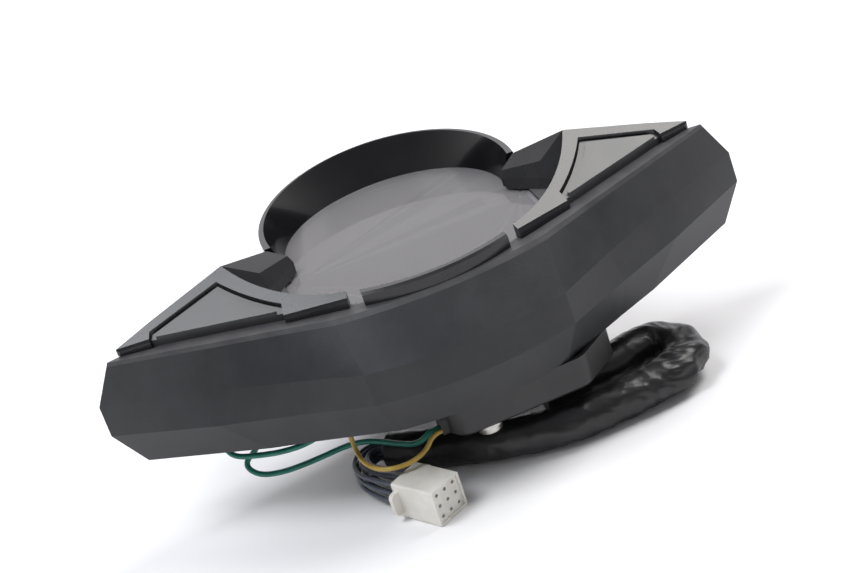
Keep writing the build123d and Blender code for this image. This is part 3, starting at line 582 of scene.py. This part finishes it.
def add_dial_print():
    """Scales, ticks and plain figures for the three gauges."""
    white = Print("dial_print_white", "dial_black", "white_print")
    red = Print("dial_print_red", "dial_black", "red_print")
    grey = Print("dial_print_grey", "dial_black", "grey_print")
    white.arc(SPEED_CENTRE, SPEED_R, SPEED_START, 108, 0.7)
    white.arc(SPEED_CENTRE, SPEED_INNER_R, SPEED_START, 118, 0.6)
    white.tick(SPEED_CENTRE, SPEED_INNER_R - 4, SPEED_R, SPEED_START, 0.7)
    ladder = 34
    for index in range(ladder + 1):
        angle = SPEED_START + (SPEED_END - SPEED_START) * index / ladder
        long_one = index % 4 == 0
        if index < 17:
            white.tick(SPEED_CENTRE, SPEED_INNER_R + 0.4, SPEED_R, angle, 0.5 if long_one else 0.3)
        else:
            white.tick(SPEED_CENTRE, SPEED_R - 1.3, SPEED_R + 0.2, angle, 1.1)
            red.tick(SPEED_CENTRE, SPEED_R - 4.4, SPEED_R - 1.7, angle, 1.9)
        if long_one:
            figure = str(index // 4 * 2)
            figure = figure + "0" if index else "0"
            grey.text(figure, around(SPEED_CENTRE, 30.5, angle), 2.6, 0.35)
            grey.text(figure, around(SPEED_CENTRE, 46, angle), 2.2, 0.3)
    red.arc(SPEED_CENTRE, SPEED_R - 3.1, 107, SPEED_END, 0.5)
    white.arc(TACH_CENTRE, TACH_R, TACH_START, TACH_END, 0.8)
    tach_ticks = 46
    for index in range(tach_ticks + 1):
        angle = TACH_START + (TACH_END - TACH_START) * index / tach_ticks
        long_one = index % 5 == 0
        inner = TACH_R - (5 if long_one else 2.8)
        white.tick(TACH_CENTRE, inner, TACH_R, angle, 0.9 if long_one else 0.5)
        if long_one and index:
            white.text(str(index // 5), around(TACH_CENTRE, 21.8, angle), 3.6, 0.7)
    white.arc(FUEL_CENTRE, 16, 150, 50, 0.6)
    for index in range(9):
        white.tick(FUEL_CENTRE, 13.5 if index % 4 == 0 else 14.8, 16, 150 - 12.5 * index, 0.6)
    white.text("F", (-17.6, -3.6), 3.4, 0.8)
    white.text("E", (-40.5, -3.5), 3.4, 0.8)
    white.text("0", (-39.3, 6.4), 3.4, 0.7)
    white.text("00", (-30.6, -4.6), 2.6, 0.6)
    white.text("km/h", (33, 27.2), 3.4, 0.65)
    red.text("140", (47, 36.5), 2.4, 0.5)
    for piece in (white, red, grey):
        piece.build()


# ---------------------------------------------------------------- wrinkled sleeve


def even_line(line, count):
    """The same line with count evenly spaced points."""
    total = line_length(line)
    result, travelled, index = [line[0].copy()], 0.0, 0
    for number in range(1, count):
        wanted = total * number / (count - 1)
        while index < len(line) - 2 and travelled + (line[index + 1] - line[index]).length < wanted:
            travelled += (line[index + 1] - line[index]).length
            index += 1
        step = line[index + 1] - line[index]
        share = (wanted - travelled) / step.length if step.length else 0
        result.append(line[index] + step * min(max(share, 0), 1))
    return result


def frames_along(line):
    """For each point its forward direction and the two directions across it, held level."""
    frames = []
    for index, point in enumerate(line):
        before, after = line[max(index - 1, 0)], line[min(index + 1, len(line) - 1)]
        forward = (after - before).normalized()
        side = forward.cross(Vector((0, 0, 1))).normalized()
        frames.append((point, forward, side, side.cross(forward).normalized()))
    return frames


SLEEVE_RINGS = 420
SLEEVE_SIDES = 72


def sleeve_shape(share, turn, place):
    """How far the slack vinyl stands from its middle, and how flat it lies there."""
    bend = math.exp(-((share - 0.33) / 0.13) ** 2)
    slack = 0.35 + 0.65 * bend
    coarse = noise.noise(Vector((share * 9, math.cos(turn) * 1.3, math.sin(turn) * 1.3)))
    pleat = 1 - abs(noise.noise(Vector((share * 34 + turn * 0.9, turn * 1.6, 3.1)))) * 2
    fold = 1 - abs(noise.noise(place * 95 + Vector((7, 2, 5)))) * 2
    fine = noise.noise(place * 310)
    return 1 + slack * (0.11 * coarse + 0.07 * (pleat - 0.5) + 0.13 * (fold - 0.6)) + 0.012 * fine, bend


def add_sleeve():
    """The soft vinyl sleeve: a slack tube that pleats where it turns back."""
    path = smooth_line("sleeve_line", SLEEVE_ROUTE)
    line = even_line(path, SLEEVE_RINGS)
    vertices, faces = [], []
    for ring, (point, forward, side, up) in enumerate(frames_along(line)):
        share = ring / (SLEEVE_RINGS - 1)
        for number in range(SLEEVE_SIDES):
            turn = 2 * math.pi * number / SLEEVE_SIDES
            out = side * math.cos(turn) + up * math.sin(turn)
            reach, bend = sleeve_shape(share, turn, point + out * SLEEVE_D / 2)
            wide = SLEEVE_D / 2 * (1 + 0.22 * bend) * reach
            tall = SLEEVE_D / 2 * (1 - 0.06 * bend) * reach
            vertex = point + side * math.cos(turn) * wide + up * math.sin(turn) * tall
            vertex.z = max(vertex.z, 0.0003 + 0.0004 * math.cos(turn) ** 2)
            vertices.append(vertex)
    for ring in range(SLEEVE_RINGS - 1):
        for number in range(SLEEVE_SIDES):
            after = (number + 1) % SLEEVE_SIDES
            a, b = ring * SLEEVE_SIDES, (ring + 1) * SLEEVE_SIDES
            faces.append((a + number, a + after, b + after, b + number))
    last = (SLEEVE_RINGS - 1) * SLEEVE_SIDES
    faces.append(tuple(reversed(range(SLEEVE_SIDES))))
    faces.append(tuple(range(last, last + SLEEVE_SIDES)))
    mesh = bpy.data.meshes.new("vinyl_sleeve")
    mesh.from_pydata(vertices, [], faces)
    for face in mesh.polygons:
        face.use_smooth = True
    mesh.materials.append(MATERIALS["sleeve_vinyl"])
    piece = bpy.data.objects.new("vinyl_sleeve", mesh)
    bpy.context.scene.collection.objects.link(piece)
    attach(piece, "root")
    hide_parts("harness_sleeve")


add_camera()
add_floor_and_light()
MATERIALS = add_materials()
dress_cad_nodes()
add_sleeve()
add_wires()
add_dial_print()
